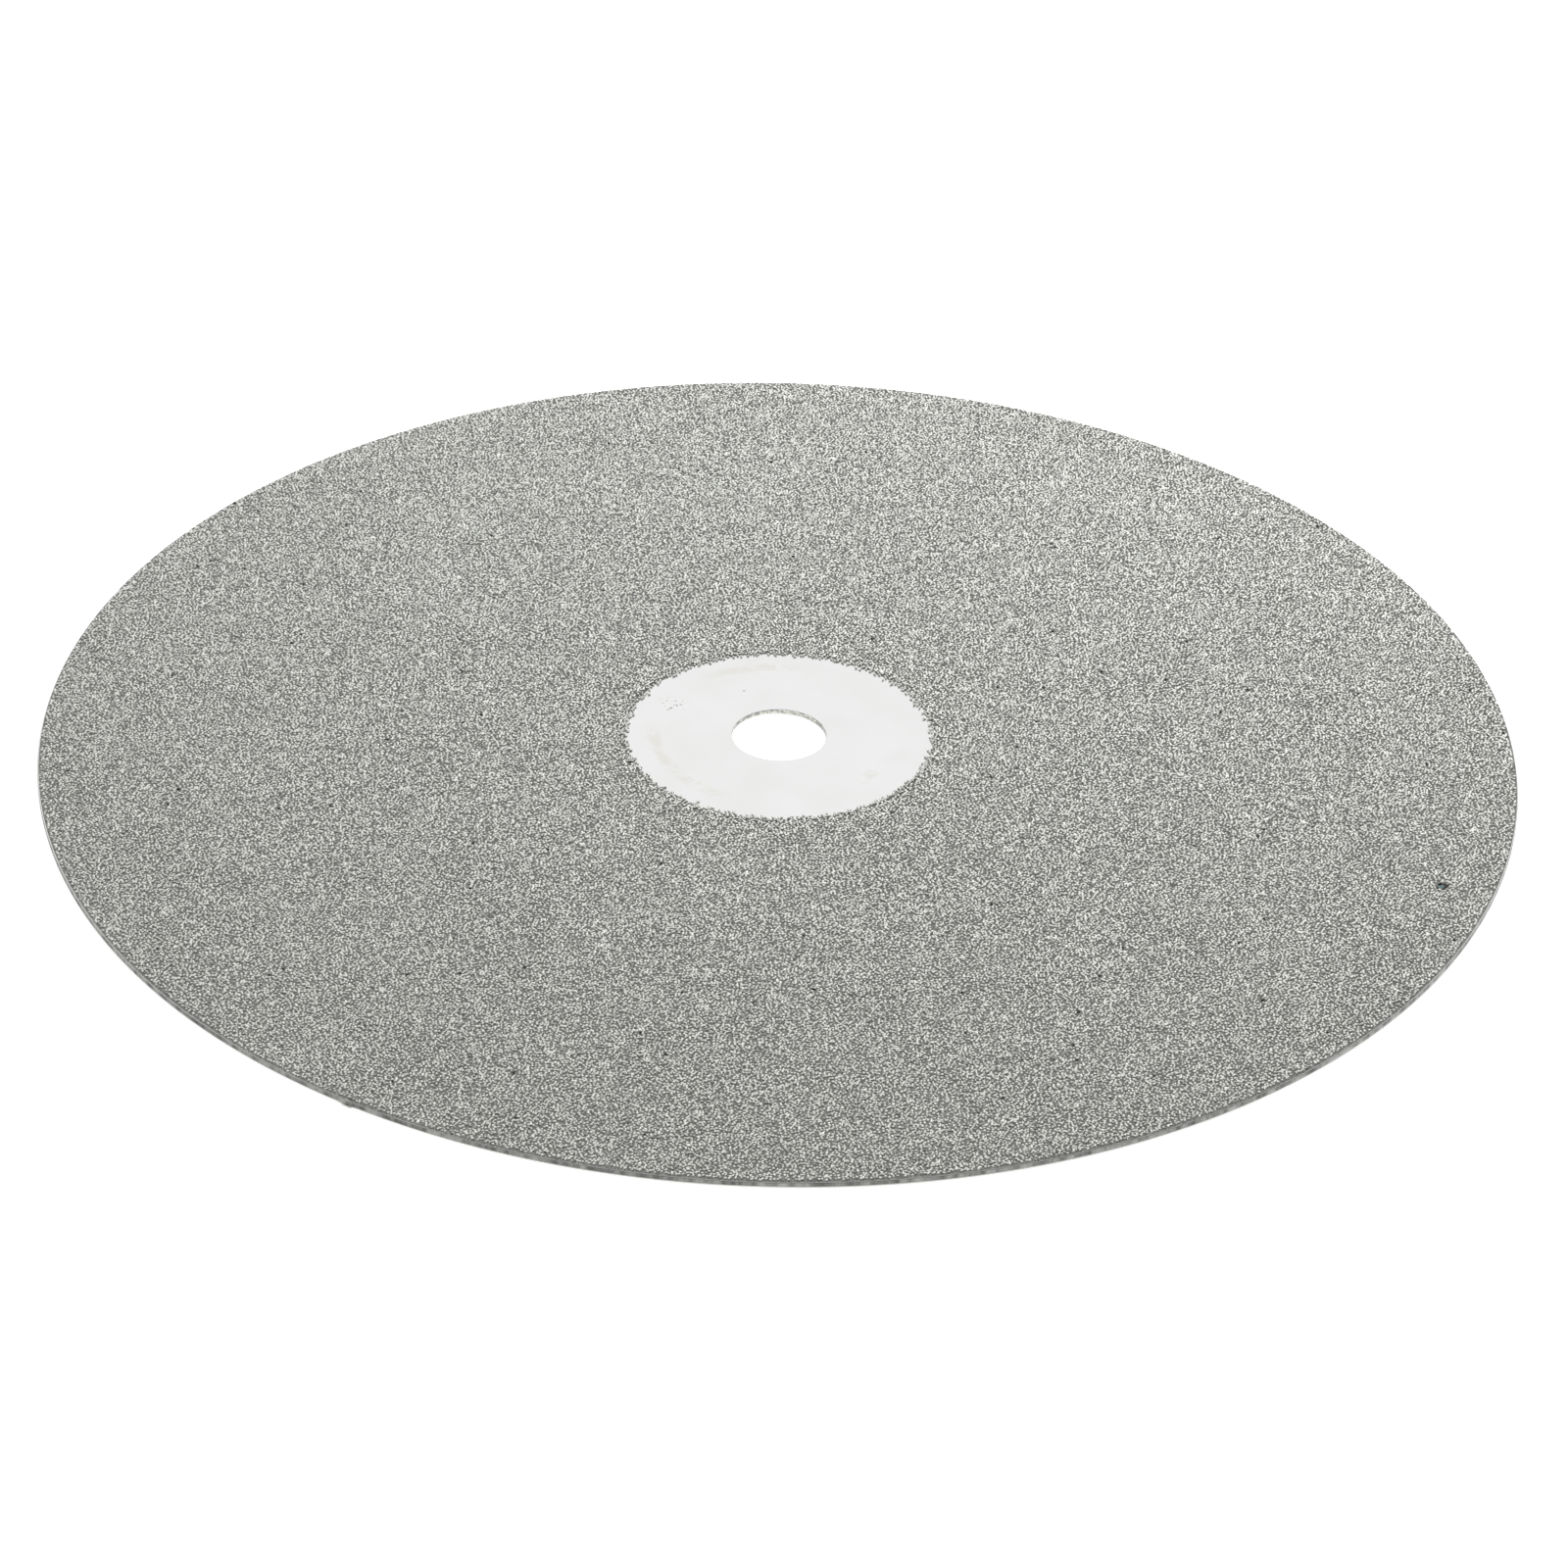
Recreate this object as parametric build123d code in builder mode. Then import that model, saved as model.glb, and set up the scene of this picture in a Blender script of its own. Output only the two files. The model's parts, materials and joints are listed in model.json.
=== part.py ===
"""Flat diamond lap disc for lapidary grinding.

A disc of steel sheet carries one layer of diamond grit on its working face. Electroplated
nickel bonds the grit, from a bare ring round the arbor hole out to the rim. Nothing on the
disc moves: it is clamped on a machine's spindle and turns with it.

Frame: the origin is the centre of the arbor hole on the back face. +Z is the axis of
rotation and points out of the working face. All sizes are in millimetres.
"""

import os

from build123d import *

# Steel blank
disc_diameter = 200.0  # over the rim
blank_thickness = 0.8  # of the sheet
rim_roll = 0.15  # radius that blanking leaves on the working side of the rim
rim_break = 0.1  # chamfer on the back of the rim, where the burr was taken off

# Arbor hole
arbor_diameter = 12.7  # of the half-inch spindle that the disc goes on
arbor_clearance = 0.1  # hole over spindle, on the diameter
bore_break = 0.08  # chamfer at both ends of the hole

# Bare ring, which the machine's clamp flange seats on
hub_diameter = 41.0

# Coat
bond_thickness = 0.1  # nickel over the steel
grit_stand_out = 0.2  # tips of the crystals over the nickel
bond_lap = 0.1  # nickel that runs on past the last crystals, at both edges of the coat

# Places that follow from the sizes above
disc_radius = disc_diameter / 2
bore_radius = (arbor_diameter + arbor_clearance) / 2
bond_inner_radius = hub_diameter / 2
bond_outer_radius = disc_radius - rim_roll
grit_inner_radius = bond_inner_radius + bond_lap
grit_outer_radius = bond_outer_radius - bond_lap
bond_seat = Plane.XY.offset(blank_thickness)
grit_seat = Plane.XY.offset(blank_thickness + bond_thickness)


# The blank is cut from sheet, with the arbor hole in its middle. The cut leaves a rolled
# edge on the working side, and the edges at the back and in the hole are broken by hand.
with BuildPart() as backing_disc:
    with BuildSketch():
        Circle(disc_radius)
        Circle(bore_radius, mode=Mode.SUBTRACT)
    extrude(amount=blank_thickness)
    rings = backing_disc.edges().filter_by(GeomType.CIRCLE).group_by(SortBy.RADIUS)
    bore_edges = rings[0]
    back_rim_edge, front_rim_edge = rings[-1].sort_by(Axis.Z)
    chamfer(bore_edges, bore_break)
    chamfer(back_rim_edge, rim_break)
    fillet(front_rim_edge, rim_roll)
backing_disc.part.label = "backing_disc"

# The nickel grows on the steel wherever the plating mask leaves it free: from the edge of
# the bare ring to where the rim starts to roll over.
with BuildPart() as nickel_bond:
    with BuildSketch(bond_seat):
        Circle(bond_outer_radius)
        Circle(bond_inner_radius, mode=Mode.SUBTRACT)
    extrude(amount=bond_thickness)
nickel_bond.part.label = "nickel_bond"

# The crystals stand side by side in the nickel, one layer deep, and are far too many to be
# solids of their own. One ring of their common height holds the space of their bare tips,
# with its flat top at the height that the work rests on.
with BuildPart() as diamond_grit:
    with BuildSketch(grit_seat):
        Circle(grit_outer_radius)
        Circle(grit_inner_radius, mode=Mode.SUBTRACT)
    extrude(amount=grit_stand_out)
diamond_grit.part.label = "diamond_grit"

os.makedirs("parts", exist_ok=True)
export_step(backing_disc.part, "parts/backing_disc.step")
export_step(nickel_bond.part, "parts/nickel_bond.step")
export_step(diamond_grit.part, "parts/diamond_grit.step")
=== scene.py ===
"""Looks of a flat diamond lap disc: the steel blank, the plated nickel and the layer of crystals.

Everything is in metres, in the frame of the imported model: the back face lies at z = 0, the
arbor hole is centred on the origin and the working face looks up.
"""

import json
import math

import bpy
import numpy as np
from mathutils import Matrix, Vector


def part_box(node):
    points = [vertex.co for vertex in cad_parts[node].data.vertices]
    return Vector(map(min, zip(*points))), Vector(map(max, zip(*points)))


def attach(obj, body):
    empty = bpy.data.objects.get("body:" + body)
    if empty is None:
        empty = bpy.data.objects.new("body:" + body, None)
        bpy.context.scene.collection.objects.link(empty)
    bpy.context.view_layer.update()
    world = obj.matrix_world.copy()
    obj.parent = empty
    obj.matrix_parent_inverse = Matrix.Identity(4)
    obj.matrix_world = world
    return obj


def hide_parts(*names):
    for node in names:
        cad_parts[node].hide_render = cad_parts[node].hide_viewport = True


MM = 0.001

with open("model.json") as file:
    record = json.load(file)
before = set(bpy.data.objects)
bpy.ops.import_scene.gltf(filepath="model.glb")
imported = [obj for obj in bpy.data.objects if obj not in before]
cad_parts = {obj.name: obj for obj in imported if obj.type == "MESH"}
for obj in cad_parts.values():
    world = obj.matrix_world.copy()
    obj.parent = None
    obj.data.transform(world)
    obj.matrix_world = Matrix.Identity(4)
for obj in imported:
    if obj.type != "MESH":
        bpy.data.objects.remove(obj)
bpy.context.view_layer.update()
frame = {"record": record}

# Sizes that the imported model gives
disc_box, bond_box, grit_box = (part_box(n) for n in ("backing_disc", "nickel_bond", "diamond_grit"))
DISC_RADIUS = min(*disc_box[1][:2], *(-side for side in disc_box[0][:2]))
BLANK_TOP = disc_box[1][2]
BOND_TOP = bond_box[1][2]
GRIT_TOP = grit_box[1][2]
ARBOR = next(m for m in frame["record"]["mounts"] if m["name"] == "arbor_hole")
BORE_RADIUS = ARBOR["dims"]["r_mm"] * MM

# Sizes that it doesn't give
BORE_BREAK = 0.08 * MM
RIM_ROLL = 0.15 * MM
RIM_BREAK = 0.1 * MM
SHEAR = 0.25 * MM  # height of the burnished foot of the cut walls
BARE_RADIUS = 20.5 * MM  # of the ring that was masked during plating
CRYSTAL = 0.5 * MM  # across a crystal
SPACING = 0.325 * MM  # least distance from one crystal's middle to the next
SECTORS = 10  # pieces that the crystals are shared out over
EDGE_PAINTED_LIGHT, GLINT, TEAL, BLACK = 1.1, 1.2, 1.3, 1.4  # tones of crystals that differ from the rest: painted light along the plating's edge, painted glints, teal ones and black ones

# Wear and small flaws
PIT_SHADE = (39 * MM, 52 * MM)  # black crystals here are painted shade of a pit, which is not cut into the layer
DARK_SPOT = (87 * MM, -33 * MM)  # a dark spot of black crystals with teal crystals in it
# Crystals whose tone a flaw changes: middle and radius of the flaw, then the tone
FLAWS = ((PIT_SHADE, 0.45 * MM, BLACK), (DARK_SPOT, 0.9 * MM, BLACK), (DARK_SPOT, 0.4 * MM, TEAL))
STAIN = (-15 * MM, 7 * MM, BLANK_TOP)
SPECK = (-5 * MM, 11 * MM, BLANK_TOP)
# Arcs that a clamp flange rubbed on the bare ring: middle and half width in degrees, then radius
RUBBED = ((210, 40, 17 * MM), (105, 25, 17.5 * MM), (-40, 8, 15.5 * MM))
NUB = (239, 1.0, 0.4 * MM)  # on the rim: middle and half width in degrees, then how far it stands out

# How the crystals are grown
MIDDLE = 0.92 * MM  # height of their middles
DENSITY = 20.0 / (MM * MM)  # spots tried on an area, before the spacing thins them out
RAGGED = 1.1 * MM  # the most that their inner edge wanders to either side
RAGGED_WAVE = 0.35 * MM  # size of the noise that it follows
EDGE_PAINTED_LIGHT_WIDTH = 0.9 * MM  # of the band along that edge whose crystals get painted light: one flat tone, without the painted shade at the foot
BLACK_UNDER, GLINT_OVER = 0.001, 0.9985  # of the tones drawn between 0 and 1
SHAPES = 4  # different crystals
UNEVEN = 0.14  # how far a corner strays, as a share of a crystal
SMALLEST, LARGEST = (0.7, 0.7, 0.6), (1.3, 1.3, 1.0)  # as shares of CRYSTAL
CORNERS, FACETS = 6, 8  # of one crystal
TONE_SPAN = 1.45  # width of the shared map, in tones
APART = 0.003  # how far a facet's corners are moved on that map, so that it has an area there

# Seeds of what is drawn at random
EDGE_SEED = 3  # of the plating's ragged edge
SPOT_SEED = 5
CORNER_SEED = 11  # of the first shape, and one more for each shape after it
TURN_SEED, SIZE_SEED, PICK_SEED, TONE_SEED = 21, 22, 23, 24


# ---------------------------------------------------------------- shader expressions


class Value:
    """A socket of a material's nodes that can be used in arithmetic."""

    def __init__(self, tree, socket):
        self.tree, self.socket = tree, socket

    def math(self, operation, *others):
        node = self.tree.nodes.new("ShaderNodeMath")
        node.operation = operation
        for entry, value in zip(node.inputs, (self, *others)):
            plug(self.tree, entry, value)
        return Value(self.tree, node.outputs[0])

    def turned(self, operation, other):
        node = self.tree.nodes.new("ShaderNodeMath")
        node.operation = operation
        plug(self.tree, node.inputs[0], other)
        plug(self.tree, node.inputs[1], self)
        return Value(self.tree, node.outputs[0])

    def __add__(self, other):
        return self.math("ADD", other)

    def __sub__(self, other):
        return self.math("SUBTRACT", other)

    def __mul__(self, other):
        return self.math("MULTIPLY", other)

    def __truediv__(self, other):
        return self.math("DIVIDE", other)

    def __gt__(self, other):
        return self.math("GREATER_THAN", other)

    def __lt__(self, other):
        return self.math("LESS_THAN", other)

    __radd__ = __add__
    __rmul__ = __mul__

    def __rsub__(self, other):
        return self.turned("SUBTRACT", other)

    def __rtruediv__(self, other):
        return self.turned("DIVIDE", other)


def plug(tree, entry, value):
    if isinstance(value, Value):
        tree.links.new(value.socket, entry)
    elif value is not None:
        entry.default_value = value


class Shader:
    """The nodes of one material or of the world."""

    def __init__(self, owner):
        owner.use_nodes = True
        self.tree = owner.node_tree
        self.tree.nodes.clear()

    def node(self, kind, settings=None, out=0, **values):
        """Adds a node, sets it up, feeds its sockets by name, and returns an output, if it has one."""
        node = self.tree.nodes.new("ShaderNode" + kind)
        for name, setting in (settings or {}).items():
            setattr(node, name, setting)
        for name, value in values.items():
            plug(self.tree, self.entry(node, name), value)
        return Value(self.tree, node.outputs[out]) if node.outputs else None

    @staticmethod
    def entry(node, name):
        """A node's socket by its name, or by its number, as in i0."""
        if name[0] == "i" and name[1:].isdigit():
            return node.inputs[int(name[1:])]
        return node.inputs[name.replace("_", " ")]

    def place(self):
        return self.node("TexCoord", out="Object")

    def parts_of(self, vector):
        split = self.node("SeparateXYZ", Vector=vector).socket.node
        return [Value(self.tree, output) for output in split.outputs]

    def noise(self, place, size, detail=2.0, roughness=0.5):
        """Noise whose features are about size metres across."""
        return self.node("TexNoise", Vector=place, Scale=1 / size, Detail=detail, Roughness=roughness)

    def distance(self, place, spot):
        return self.node("VectorMath", {"operation": "DISTANCE"}, out="Value", i0=place, i1=spot)

    def from_axis(self, x, y):
        """How far a place is from the axis of the disc."""
        across = self.node("CombineXYZ", X=x, Y=y)
        return self.node("VectorMath", {"operation": "LENGTH"}, out="Value", i0=across)

    def span(self, value, low, high, to_low=0.0, to_high=1.0):
        """Where value lies between low and high, as a smooth step from to_low to to_high."""
        return self.node(
            "MapRange",
            {"interpolation_type": "SMOOTHSTEP"},
            Value=value,
            From_Min=low,
            From_Max=high,
            To_Min=to_low,
            To_Max=to_high,
        )

    def blend(self, share, a, b):
        return self.node("Mix", {"data_type": "RGBA"}, out=2, i0=share, i6=a, i7=b)

    def finish(self, shader, target="OutputMaterial"):
        self.node(target, Surface=shader)


def grey(value, warm=0.0):
    return (value, value, value * (1 - warm), 1.0)


def material(name):
    made = bpy.data.materials.new(name)
    return made, Shader(made)


# ---------------------------------------------------------------- finishes


def bare_steel():
    made, s = material("bare_steel")
    place = s.place()
    x, y, z = s.parts_of(place)
    radius = s.from_axis(x, y)
    around = y.math("ARCTAN2", x)
    cloud = s.noise(place, 9 * MM, detail=3.0)
    fine = s.noise(place, 0.7 * MM, detail=4.0, roughness=0.65)
    # Faint arcs that a clamp flange has rubbed on the bare ring
    worn = s.span(s.noise(place, 2.5 * MM, detail=4.0, roughness=0.7), 0.4, 0.58)
    witness = 0.0
    for middle, half, ring in RUBBED:
        offset = ((radius - ring) / MM).math("ABSOLUTE")
        near = (around - math.radians(middle)).math("COSINE")
        inside = s.span(near, math.cos(math.radians(half)), math.cos(math.radians(half * 0.6)))
        witness = inside * (1 - s.span(offset, 0.2, 1.4)) + witness
    witness = (witness * worn).math("MINIMUM", 1.0)
    # A little cluster of stains and a lone speck
    away = s.distance(place, STAIN)
    spots = s.span(s.noise(place, 0.45 * MM, detail=2.0), 0.6, 0.68) * (1 - s.span(away, 1.2 * MM, 2.4 * MM))
    lone = s.distance(place, SPECK)
    spots = spots + (1 - s.span(lone, 0.12 * MM, 0.3 * MM)) * 0.5
    top = z > (BLANK_TOP - 0.02 * MM)
    bright = s.blend(s.span(cloud, 0.3, 0.7), grey(0.83, 0.008), grey(0.86, 0.0))
    colour = s.blend(witness * top * 0.4, bright, (0.72, 0.69, 0.6, 1))
    colour = s.blend(spots * top, colour, (0.3, 0.3, 0.22, 1))
    # The cut walls of rim and hole are burnished at the foot and torn above it, the same all round
    wall = s.node("NewGeometry", out="Normal")
    upright = s.parts_of(wall)[2].math("ABSOLUTE")
    cut = 1 - s.span(upright, 0.6, 0.97)
    unrolled = s.node("CombineXYZ", X=around * DISC_RADIUS, Y=z * 0.15, Z=radius)
    streak = s.noise(unrolled, 1.2 * MM, detail=3.0)
    torn_rim = s.blend(s.span(streak, 0.3, 0.7), grey(0.1, 0.03), grey(0.3, 0.05))
    mottle = s.span(s.noise(place, 0.5 * MM, detail=2.0), 0.3, 0.75)
    torn_hole = s.blend(mottle, grey(0.16), grey(0.5, 0.1))
    torn = s.blend(radius < (BARE_RADIUS / 2), torn_rim, torn_hole)
    burnished = 1 - s.span(z, SHEAR - 0.03 * MM, SHEAR + 0.03 * MM)
    colour = s.blend(cut, colour, s.blend(burnished, torn, grey(0.55, 0.04)))
    rough = s.span(cloud, 0.3, 0.7, 0.09, 0.12) + cut * (1 - burnished) * 0.35
    bump = s.node("Bump", Strength=0.04, Distance=0.01 * MM, Height=fine)
    skin = s.node("BsdfPrincipled", Base_Color=colour, Metallic=1.0, Roughness=rough, Normal=bump)
    s.finish(skin)
    return made


def dull_nickel():
    made, s = material("dull_nickel")
    place = s.place()
    lumps = s.noise(place, 0.16 * MM, detail=2.0)
    cloud = s.noise(place, 14 * MM, detail=3.0)
    colour = s.blend(s.span(lumps, 0.3, 0.7), (0.12, 0.12, 0.11, 1), (0.42, 0.42, 0.4, 1))
    x, y, _ = s.parts_of(place)
    radius = s.from_axis(x, y)
    # The plating thins out where the mask ended, and its colour brightens there: partly the thin plating,
    # partly painted light that lifts the shade on its slope toward the bare ring
    thin_and_painted_light = 1 - s.span(radius, BARE_RADIUS, BARE_RADIUS + 0.8 * MM)
    colour = s.blend(thin_and_painted_light * 0.8, colour, (0.8, 0.8, 0.77, 1))
    rough = s.span(cloud, 0.3, 0.7, 0.42, 0.52)
    bump = s.node("Bump", Strength=0.8, Distance=0.05 * MM, Height=lumps)
    skin = s.node("BsdfPrincipled", Base_Color=colour, Metallic=1.0, Roughness=rough, Normal=bump)
    s.finish(skin)
    return made


def diamond():
    made, s = material("diamond")
    tone = s.node("Attribute", {"attribute_name": "tone"}, out="Fac")
    height = s.parts_of(s.place())[2]
    # Painted shade darkens the foot of each crystal, low down where it sits in the nickel
    clear = s.span(height, BOND_TOP - 0.05 * MM, BOND_TOP + 0.08 * MM)
    body = s.span(tone, 0.0, 0.25, 0.55, 0.9) + tone * 0.1
    level = (clear * 0.84 + 0.04) * body
    # Tones past 1 mark the few crystals that differ: painted light on those along the plating's edge, one
    # flat tone without the painted foot shade; painted glints, white all over; teal ones; and black ones,
    # some of them painted shade of a pit
    level = s.span(tone, EDGE_PAINTED_LIGHT - 0.02, EDGE_PAINTED_LIGHT - 0.01, level, 0.7)
    level = s.span(tone, GLINT - 0.02, GLINT - 0.01, level, 1.0)
    level = s.span(tone, BLACK - 0.02, BLACK - 0.01, level, 0.02)
    colour = s.node("CombineColor", i0=level, i1=level, i2=level * 0.955)
    teal = s.span(tone, TEAL - 0.02, TEAL - 0.01) * (1 - s.span(tone, BLACK - 0.02, BLACK - 0.01))
    colour = s.blend(teal, colour, (0.2, 0.36, 0.36, 1))
    skin = s.node("BsdfPrincipled", Base_Color=colour, Metallic=0.3, Roughness=0.4, IOR=1.6)
    s.finish(skin)
    return made


STEEL, NICKEL, DIAMOND = bare_steel(), dull_nickel(), diamond()


# ---------------------------------------------------------------- turned pieces


def turned(name, profile, segments, finish):
    """A closed ring from a closed profile of (radius, height), where a radius may be one for each segment."""
    count = len(profile)
    angles = np.arange(segments) * 2 * math.pi / segments
    points = np.empty((segments, count, 3))
    for k, (radius, height) in enumerate(profile):
        points[:, k, 0] = radius * np.cos(angles)
        points[:, k, 1] = radius * np.sin(angles)
        points[:, k, 2] = height
    index = np.arange(segments * count).reshape(segments, count)
    after = np.roll(index, -1, 0)
    faces = np.stack([index, after, np.roll(after, -1, 1), np.roll(index, -1, 1)], -1).reshape(-1, 4)
    mesh = bpy.data.meshes.new(name)
    mesh.from_pydata(points.reshape(-1, 3).tolist(), [], faces.tolist())
    mesh.materials.append(finish)
    piece = bpy.data.objects.new(name, mesh)
    bpy.context.collection.objects.link(piece)
    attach(piece, "root")
    return piece


def corner(radius, height, size, start, steps=6):
    """Points of a quarter round, from the angle start on, turning left."""
    turns = [start + math.pi / 2 * i / steps for i in range(steps + 1)]
    return [(radius + size * math.cos(t), height + size * math.sin(t)) for t in turns]


def burr(segments, at, half, size):
    """How far a small burr stands out round the edge, for each segment."""
    away = np.abs((np.arange(segments) * 360 / segments - at + 180) % 360 - 180)
    return np.where(away < half, (np.cos(away / half * math.pi) + 1) / 2, 0.0) * size


def make_blank():
    segments = 2880
    nub = burr(segments, *NUB)
    rim = corner(DISC_RADIUS - RIM_ROLL, BLANK_TOP - RIM_ROLL, RIM_ROLL, 0.0)
    # Rings that divide the flat face
    flats = [(r * MM, BLANK_TOP) for r in (90, 70, 50, 35, 24, 20.5, 18, 14, 10, 7.5)]
    profile = [
        (BORE_RADIUS, BORE_BREAK),
        (BORE_RADIUS + BORE_BREAK, 0.0),
        (DISC_RADIUS - RIM_BREAK + nub, 0.0),
        (DISC_RADIUS + nub, RIM_BREAK),
        *rim,
        *flats,
        *corner(BORE_RADIUS + BORE_BREAK, BLANK_TOP - BORE_BREAK, BORE_BREAK, math.pi / 2, 4),
    ]
    return turned("steel_blank", profile, segments, STEEL)


def make_bond():
    segments = 2400
    draw = np.random.default_rng(EDGE_SEED)
    ragged = np.zeros(segments)
    for waves, size in ((2, 0.3), (12, 0.4), (30, 0.6)):
        kernel = np.hanning(segments // (waves * 12) + 3)
        rough = draw.normal(size=segments)
        smooth = np.real(np.fft.ifft(np.fft.fft(rough) * np.fft.fft(kernel / kernel.sum(), segments)))
        ragged += size * smooth / (np.abs(smooth).max() + 1e-9)
    inner = BARE_RADIUS + (0.5 + ragged * 0.25) * MM
    outer = DISC_RADIUS - RIM_ROLL
    lip = 0.06 * MM
    profile = [
        (inner, BLANK_TOP),
        (outer, BLANK_TOP),
        (outer, BOND_TOP - lip),
        (outer - 0.3 * lip, BOND_TOP - 0.3 * lip),
        (outer - lip, BOND_TOP),
        *[(r * MM, BOND_TOP) for r in (80, 60, 40, 28, 22.5)],
        (inner + 1.2 * MM, BOND_TOP),
        (inner + 0.7 * MM, BLANK_TOP + 0.07 * MM),
        (inner + 0.3 * MM, BLANK_TOP + 0.03 * MM),
    ]
    return turned("nickel_plating", profile, segments, NICKEL)


# ---------------------------------------------------------------- crystals


class Geometry:
    """A geometry node tree whose sizes are named inputs."""

    def __init__(self, name):
        self.tree = bpy.data.node_groups.new(name, "GeometryNodeTree")
        self.inputs = {}
        self.tree.interface.new_socket("Geometry", in_out="INPUT", socket_type="NodeSocketGeometry")
        self.tree.interface.new_socket("Geometry", in_out="OUTPUT", socket_type="NodeSocketGeometry")
        self.start = None

    def named(self, name, value, kind="NodeSocketFloat"):
        socket = self.tree.interface.new_socket(name, in_out="INPUT", socket_type=kind)
        self.inputs[name] = (socket.identifier, value)

    def read(self, name):
        if self.start is None:
            self.start = self.tree.nodes.new("NodeGroupInput")
        return self.start.outputs[name]

    def node(self, kind, settings=None, **values):
        node = self.tree.nodes.new(kind)
        for name, setting in (settings or {}).items():
            setattr(node, name, setting)
        for name, value in values.items():
            self.plug(Shader.entry(node, name), value)
        return node

    def plug(self, entry, value):
        if isinstance(value, bpy.types.NodeSocket):
            self.tree.links.new(value, entry)
        else:
            entry.default_value = value

    def math(self, operation, *values):
        node = self.node("ShaderNodeMath", {"operation": operation})
        for entry, value in zip(node.inputs, values):
            self.plug(entry, value)
        return node.outputs[0]

    def random_vector(self, low, high, seed):
        node = self.node("FunctionNodeRandomValue", {"data_type": "FLOAT_VECTOR"}, i0=low, i1=high)
        node.inputs["Seed"].default_value = seed
        return node

    def run(self, geometry):
        """Sends geometry out, runs the tree on an empty mesh and returns what it makes as a plain mesh."""
        end = self.tree.nodes.new("NodeGroupOutput")
        self.tree.links.new(geometry, end.inputs[0])
        holder = bpy.data.objects.new("holder", bpy.data.meshes.new("holder"))
        bpy.context.collection.objects.link(holder)
        maker = holder.modifiers.new("maker", "NODES")
        maker.node_group = self.tree
        for identifier, value in self.inputs.values():
            maker[identifier] = value
        graph = bpy.context.evaluated_depsgraph_get()
        mesh = bpy.data.meshes.new_from_object(holder.evaluated_get(graph), depsgraph=graph)
        holder.modifiers.remove(maker)
        bpy.data.objects.remove(holder)
        return mesh


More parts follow.
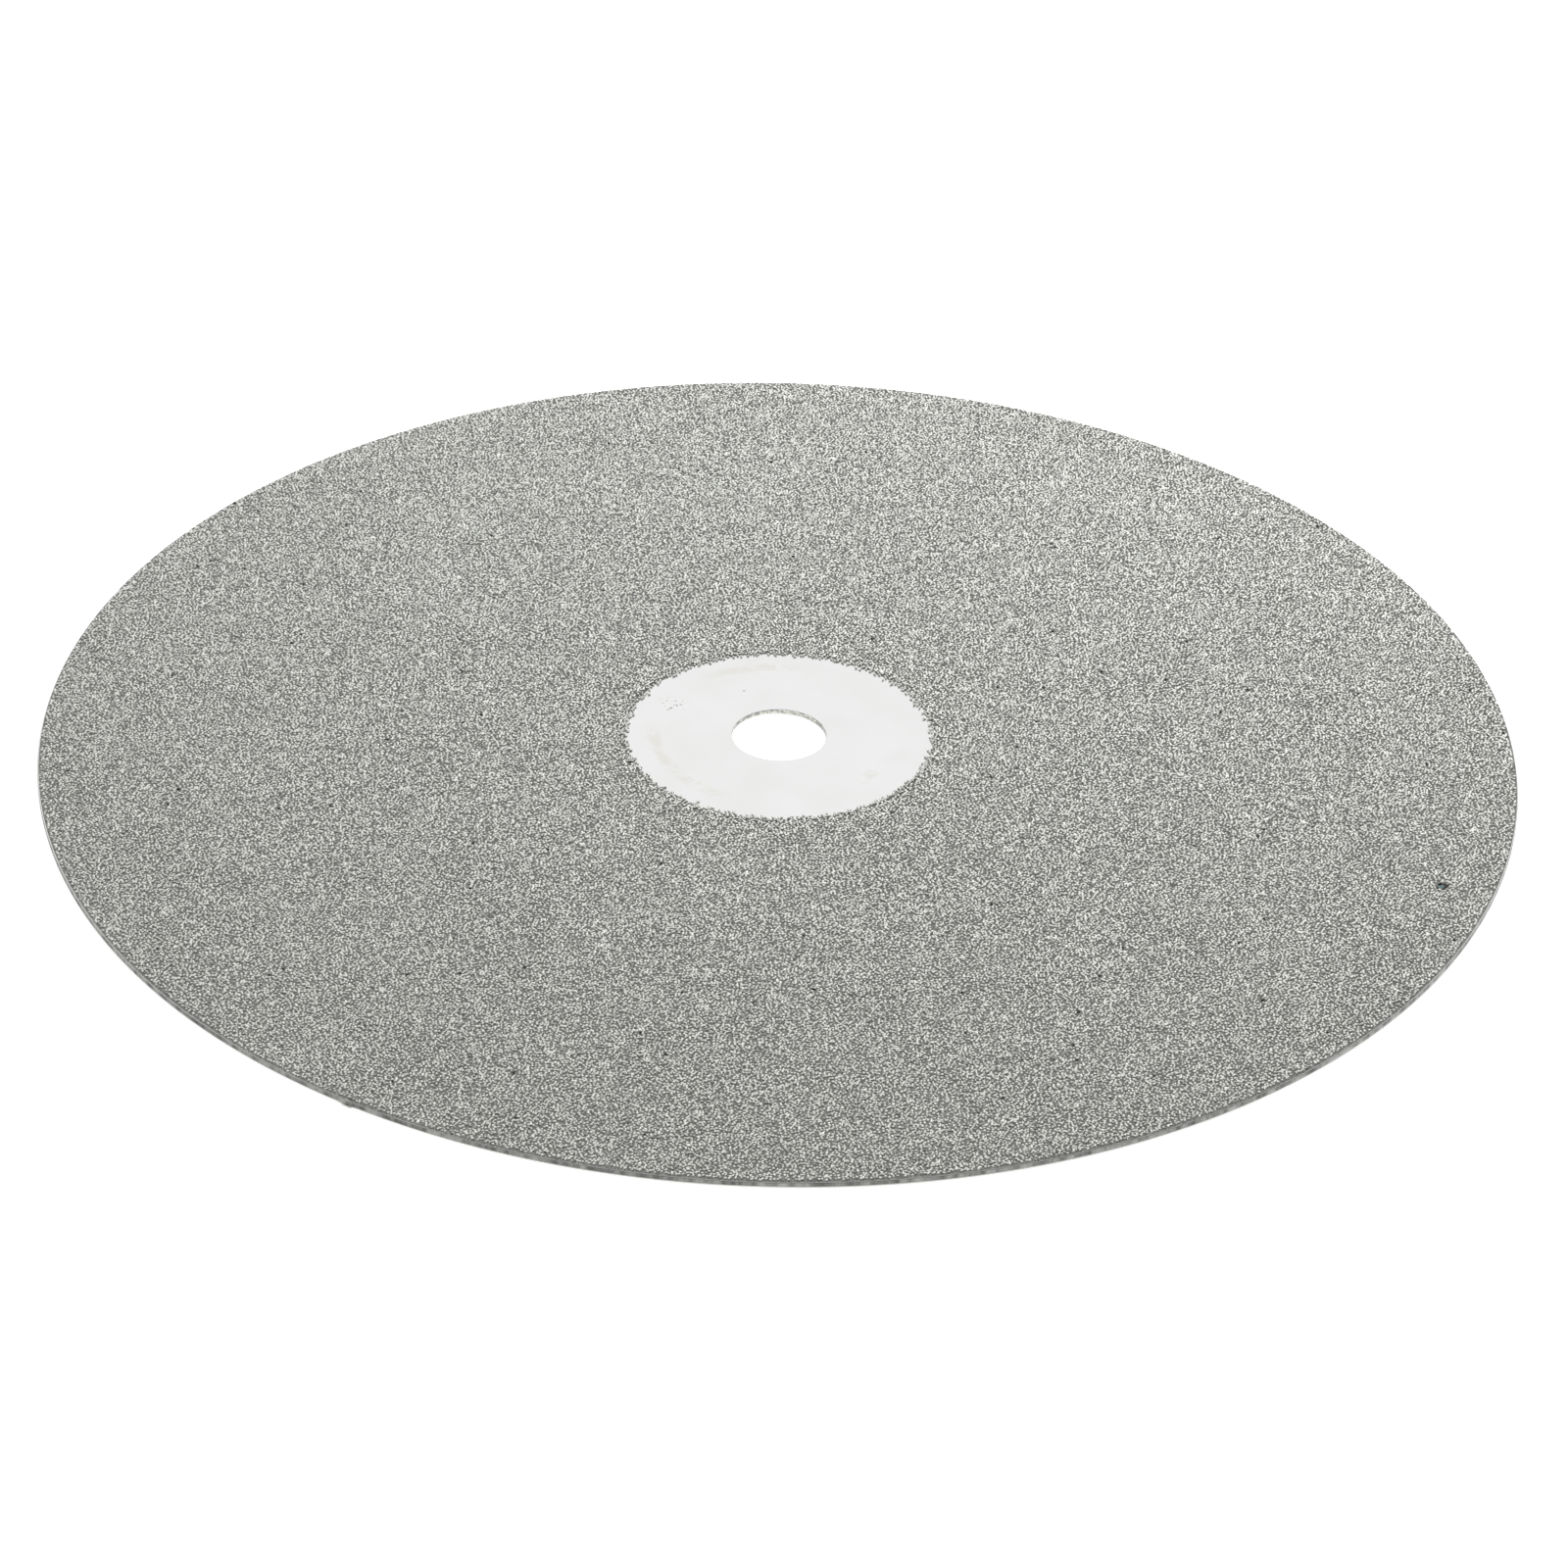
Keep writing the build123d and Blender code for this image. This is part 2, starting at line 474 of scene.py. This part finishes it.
def grow_crystals():
    """All crystals as one mesh. Each is a closed solid of six corners and eight facets."""
    g = Geometry("crystal_layer")
    for name, value in (
        ("Inner radius", BARE_RADIUS + 0.1 * MM),
        ("Outer radius", DISC_RADIUS - RIM_ROLL - CRYSTAL / 2),
        ("Spacing", SPACING),
        ("Crystal size", CRYSTAL),
        ("Raggedness", RAGGED),
        ("Seat height", BLANK_TOP),
        ("Middle height", MIDDLE),
        ("Top height", GRIT_TOP),
    ):
        g.named(name, value)
    g.named("Seed", SPOT_SEED, "NodeSocketInt")
    plate = g.node(
        "GeometryNodeMeshCircle", {"fill_type": "TRIANGLE_FAN"}, Vertices=360, Radius=g.read("Outer radius")
    )
    spots = g.node(
        "GeometryNodeDistributePointsOnFaces",
        {"distribute_method": "POISSON"},
        Mesh=plate.outputs["Mesh"],
        Distance_Min=g.read("Spacing"),
        Density_Max=DENSITY,
        Seed=g.read("Seed"),
    )
    position = g.node("GeometryNodeInputPosition").outputs[0]
    reach = g.node("ShaderNodeVectorMath", {"operation": "LENGTH"}, i0=position).outputs["Value"]
    wander = g.node("ShaderNodeTexNoise", Vector=position, Scale=1 / RAGGED_WAVE, Detail=2.0).outputs[0]
    swing = g.math("MULTIPLY", g.math("SUBTRACT", wander, 0.5), g.math("MULTIPLY", g.read("Raggedness"), 2.0))
    edge = g.math("ADD", g.read("Inner radius"), swing)
    bare = g.math("LESS_THAN", reach, edge)
    kept = g.node(
        "GeometryNodeDeleteGeometry", {"domain": "POINT"}, Geometry=spots.outputs["Points"], Selection=bare
    )
    lift = g.node("ShaderNodeCombineXYZ", Z=g.read("Middle height")).outputs[0]
    raised = g.node("GeometryNodeSetPosition", Geometry=kept.outputs[0], Offset=lift)
    shapes = g.node("GeometryNodeJoinGeometry")
    for k in range(SHAPES):
        body = g.node("GeometryNodeMeshUVSphere", Segments=4, Rings=2, Radius=0.5)
        nudge = g.random_vector((-UNEVEN,) * 3, (UNEVEN,) * 3, CORNER_SEED + k)
        cut = g.node("GeometryNodeSetPosition", Geometry=body.outputs[0], Offset=nudge.outputs[0])
        one = g.node("GeometryNodeGeometryToInstance", Geometry=cut.outputs[0])
        g.tree.links.new(one.outputs[0], shapes.inputs[0])
    turn = g.random_vector((0.0,) * 3, (2 * math.pi,) * 3, TURN_SEED)
    size = g.random_vector(SMALLEST, LARGEST, SIZE_SEED).outputs[0]
    scaled = g.node("ShaderNodeVectorMath", {"operation": "SCALE"}, i0=size, Scale=g.read("Crystal size"))
    pick = g.node("FunctionNodeRandomValue", {"data_type": "INT"})
    for entry in pick.inputs:
        if entry.enabled and entry.name == "Max":
            entry.default_value = SHAPES - 1
    pick.inputs["Seed"].default_value = PICK_SEED
    chosen = next(o for o in pick.outputs if o.enabled)
    grains = g.node(
        "GeometryNodeInstanceOnPoints",
        Points=raised.outputs[0],
        Instance=shapes.outputs[0],
        Pick_Instance=True,
        Instance_Index=chosen,
        Rotation=turn.outputs[0],
        Scale=scaled.outputs[0],
    )
    shade = g.node("FunctionNodeRandomValue", {"data_type": "FLOAT"})
    shade.inputs["Seed"].default_value = TONE_SEED
    toned = g.node(
        "GeometryNodeStoreNamedAttribute",
        {"data_type": "FLOAT", "domain": "INSTANCE"},
        Geometry=grains.outputs[0],
        Name="tone",
        Value=next(o for o in shade.outputs if o.enabled),
    )
    real = g.node("GeometryNodeRealizeInstances", Geometry=toned.outputs[0])
    parts = g.node("ShaderNodeSeparateXYZ", i0=g.node("GeometryNodeInputPosition").outputs[0])
    low, high = g.read("Seat height"), g.read("Top height")
    level = g.node("ShaderNodeClamp", Value=parts.outputs[2], Min=low, Max=high).outputs[0]
    place = g.node("ShaderNodeCombineXYZ", X=parts.outputs[0], Y=parts.outputs[1], Z=level).outputs[0]
    seated = g.node("GeometryNodeSetPosition", Geometry=real.outputs[0], Position=place)
    dressed = g.node("GeometryNodeSetMaterial", Geometry=seated.outputs[0], Material=DIAMOND)
    return g.run(dressed.outputs[0])


def share_out(whole):
    """Shares the crystals out over sectors of the disc, as one piece each, and lays out their maps."""
    places = np.empty(len(whole.vertices) * 3, np.float32)
    whole.vertices.foreach_get("co", places)
    places = places.reshape(-1, CORNERS, 3)
    corners = np.empty(len(whole.loops), np.int32)
    whole.loops.foreach_get("vertex_index", corners)
    corners = corners.reshape(-1, FACETS, 3) - (np.arange(len(places)) * CORNERS)[:, None, None]
    tones = np.empty(len(whole.vertices), np.float32)
    whole.attributes["tone"].data.foreach_get("value", tones)
    tones = tones.reshape(-1, CORNERS)[:, 0].copy()
    middles = places.mean(1)
    reach = np.hypot(middles[:, 0], middles[:, 1])
    # No crystal sticks out over the rolled edge
    far = np.hypot(places[..., 0], places[..., 1])
    places[..., :2] *= np.minimum(1.0, (DISC_RADIUS - RIM_ROLL) / far)[..., None]
    # A few crystals drawn at random get a painted glint: white all over
    tones[tones > GLINT_OVER] = GLINT
    tones[tones < BLACK_UNDER] = BLACK
    # Crystals along the plating's edge get painted light: one flat tone, without the painted shade at the
    # foot
    tones[reach < BARE_RADIUS + EDGE_PAINTED_LIGHT_WIDTH] = EDGE_PAINTED_LIGHT
    # Each flaw sets the tone of its crystals; the black ones at the pit are painted shade
    for (x, y), size, tone in FLAWS:
        tones[np.hypot(middles[:, 0] - x, middles[:, 1] - y) < size] = tone
    sector = (np.arctan2(middles[:, 1], middles[:, 0]) / (2 * math.pi) % 1 * SECTORS).astype(int)
    pieces = []
    for k in range(SECTORS):
        mine = np.flatnonzero(sector == k)
        name = f"crystals_{k + 1:02d}"
        mesh = bpy.data.meshes.new(name)
        mesh.vertices.add(len(mine) * CORNERS)
        mesh.vertices.foreach_set("co", places[mine].ravel())
        mesh.loops.add(len(mine) * FACETS * 3)
        ring = corners[mine] + (np.arange(len(mine)) * CORNERS)[:, None, None]
        mesh.loops.foreach_set("vertex_index", ring.ravel().astype(np.int32))
        mesh.polygons.add(len(mine) * FACETS)
        mesh.polygons.foreach_set("loop_start", np.arange(len(mine) * FACETS, dtype=np.int32) * 3)
        mesh.update(calc_edges=True)
        tone = mesh.attributes.new("tone", "FLOAT", "POINT")
        tone.data.foreach_set("value", np.repeat(tones[mine], CORNERS).astype(np.float32))
        # One shared map: a crystal's tone runs across it and the height of a corner runs up it
        tips = places[mine][:, None, :, 2].repeat(FACETS, 1)
        heights = (np.take_along_axis(tips, corners[mine], 2) - BLANK_TOP) / (GRIT_TOP - BLANK_TOP)
        across = tones[mine][:, None, None] / TONE_SPAN + 0.01 + np.array((-APART, APART, 0.0))
        up = heights * 0.94 + 0.03 + np.array((0.0, 0.0, APART))
        layer = mesh.uv_layers.new(name="OFBake")
        layer.uv.foreach_set("vector", np.stack([across + 0 * up, up], -1).ravel().astype(np.float32))
        mesh.materials.append(DIAMOND)
        piece = bpy.data.objects.new(name, mesh)
        bpy.context.collection.objects.link(piece)
        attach(piece, "root")
        pieces.append(piece)
    return pieces


blank = make_blank()
plating = make_bond()
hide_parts("backing_disc")
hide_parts("nickel_bond")
crystals = share_out(grow_crystals())
for piece in crystals:
    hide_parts("diamond_grit")


# ---------------------------------------------------------------- studio


def lamp(name, at, towards, across, power, mirrored=True):
    """A softbox. One that isn't mirrored lights the object but doesn't show in polished metal."""
    light = bpy.data.lights.new(name, "AREA")
    light.shape, light.size, light.size_y = "RECTANGLE", across[0], across[1]
    light.energy = power
    holder = bpy.data.objects.new(name, light)
    bpy.context.collection.objects.link(holder)
    holder.location = at
    holder.visible_glossy = mirrored
    holder.visible_camera = False
    holder.rotation_mode = "QUATERNION"
    holder.rotation_quaternion = (Vector(at) - Vector(towards)).to_track_quat("Z", "Y")


def make_world():
    """White to the camera. Its light on the object is stronger from behind."""
    world = bpy.data.worlds.new("studio")
    bpy.context.scene.world = world
    s = Shader(world)
    way = s.node("TexCoord", out="Generated")
    back = s.span(s.parts_of(way)[1], 0.45, 0.72)
    level = back * 0.45 + 0.55
    eye = s.node("LightPath", out="Is Camera Ray")
    seen = s.blend(eye, s.node("CombineColor", i0=level, i1=level, i2=level), (1, 1, 1, 1))
    s.finish(s.node("Background", Color=seen, Strength=1.0), "OutputWorld")


def make_floor():
    """A pale floor just under the object, brighter to the camera and in reflections than as a light."""
    size = 6.0
    corners = [(-size, -size, 0), (size, -size, 0), (size, size, 0), (-size, size, 0)]
    mesh = bpy.data.meshes.new("floor")
    mesh.from_pydata(corners, [], [(0, 1, 2, 3)])
    made, s = material("pale_floor")
    seen = s.node("LightPath", out="Is Camera Ray") + s.node("LightPath", out="Is Glossy Ray")
    seen = seen.math("MINIMUM", 1.0)
    plain = s.node("BsdfDiffuse", Color=grey(0.6))
    lit = s.node("BsdfDiffuse", Color=grey(0.95))
    glow = s.node("Emission", Color=grey(1.0), Strength=0.55)
    white = s.node("AddShader", i0=lit, i1=glow)
    s.finish(s.node("MixShader", i0=seen, i1=plain, i2=white))
    mesh.materials.append(made)
    floor = bpy.data.objects.new("floor", mesh)
    floor.location.z = -0.02 * MM
    bpy.context.collection.objects.link(floor)


def make_camera():
    eye = Vector((0.8, -587.4, 373.8)) * MM
    aim = Vector((0.83, -11.08, 0.0)) * MM
    tilt = math.radians(1.46)
    forward = (aim - eye).normalized()
    right = forward.cross(Vector((0, 0, 1))).normalized()
    up = right.cross(forward)
    right, up = (
        math.cos(tilt) * right + math.sin(tilt) * up,
        -math.sin(tilt) * right + math.cos(tilt) * up,
    )
    data = bpy.data.cameras.new("camera")
    data.lens, data.sensor_width = 117.5, 36.0
    data.clip_start, data.clip_end = 0.01, 50.0
    camera = bpy.data.objects.new("camera", data)
    bpy.context.collection.objects.link(camera)
    turn = Matrix((right, up, -forward)).transposed()
    camera.matrix_world = Matrix.Translation(eye) @ turn.to_4x4()
    bpy.context.scene.camera = camera


make_world()
make_floor()
make_camera()
lamp("softbox_back", (0.16, 0.46, 0.2), (0.02, 0.02, 0), (0.34, 0.2), 0.4, mirrored=False)
lamp("softbox_left", (-1.0, -0.45, 0.3), (0, 0, 0), (1.2, 0.55), 1.5)
lamp("softbox_top", (0.08, 0.09, 0.26), (0.06, 0.06, 0), (0.14, 0.12), 0.95, mirrored=False)
bpy.context.scene.view_settings.view_transform = "Standard"
